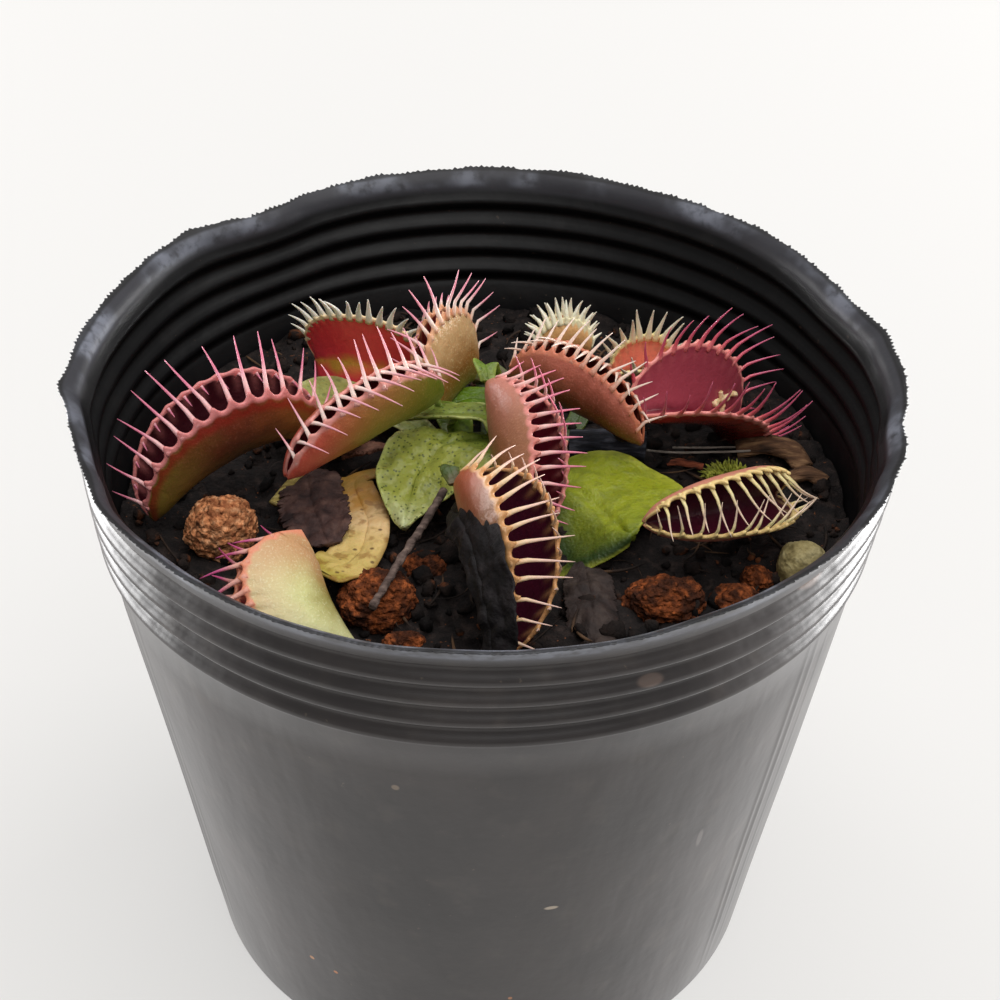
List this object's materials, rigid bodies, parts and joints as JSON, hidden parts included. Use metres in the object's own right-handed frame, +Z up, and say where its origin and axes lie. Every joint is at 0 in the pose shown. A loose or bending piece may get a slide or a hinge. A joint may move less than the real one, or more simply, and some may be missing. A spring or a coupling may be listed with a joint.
{
  "type": "potted venus flytrap",
  "caption": "Venus flytrap with open, half-closed and closed traps on green leaf blades, growing from one crown in dark peat in a round soft black nursery pot.",
  "frame": {"origin": "centre of the pot's base ring, on the plane that the pot stands on", "axes": "+Z up along the pot's axis; +Y away from the side the plant is seen from, +X to that view's right"},
  "size_m": [0.0899, 0.09, 0.0778],
  "materials": {
    "pot": "thin black polypropylene, satin, ribbed under the lip",
    "peat": "moist dark peat with fibres",
    "crown": "white-green fleshy leaf bases",
    "trap": "fleshy leaf, olive to brown-pink outside, crimson inside, pale pink teeth",
    "blade": "satin green leaf, speckled or withered yellow in places",
    "clay": "rough baked clay granules",
    "stone": "rough beige stone",
    "dead_leaf": "dry charcoal to brown leaf",
    "bark": "weathered bark and twig",
    "straw": "dry straw",
    "moss": "soft green moss"
  },
  "bodies": {
    "root": {"pot": "pot", "soil": "peat", "crown": "crown", "trap_left": "trap", "blade_left": "blade", "trap_inner_left": "trap", "blade_inner_left": "blade", "trap_back_left": "trap", "blade_back_left": "blade", "trap_upright": "trap", "blade_upright": "blade", "trap_centre": "trap", "blade_centre": "blade", "trap_front": "trap", "blade_front": "blade", "trap_inner_right": "trap", "blade_inner_right": "blade", "trap_back_small": "trap", "blade_back_small": "blade", "trap_back_pale": "trap", "blade_back_pale": "blade", "trap_right": "trap", "blade_right": "blade", "trap_front_right": "trap", "blade_front_right": "blade", "trap_front_left": "trap", "blade_front_left": "blade", "blade_speckled": "blade", "clay_ball": "clay", "clay_front_left": "clay", "clay_front_upper": "clay", "clay_front_small": "clay", "clay_right": "clay", "clay_right_small": "clay", "clay_right_upper": "clay", "stone_beige": "stone", "dead_leaf_black": "dead_leaf", "dead_leaf_brown": "dead_leaf", "dead_leaf_patch": "dead_leaf", "dead_leaf_shred": "dead_leaf", "bark_grey": "bark", "bark_chip_right": "bark", "bark_chip_edge": "bark", "twig": "bark", "straw": "straw", "moss_tuft": "moss"}
  },
  "joints": []
}
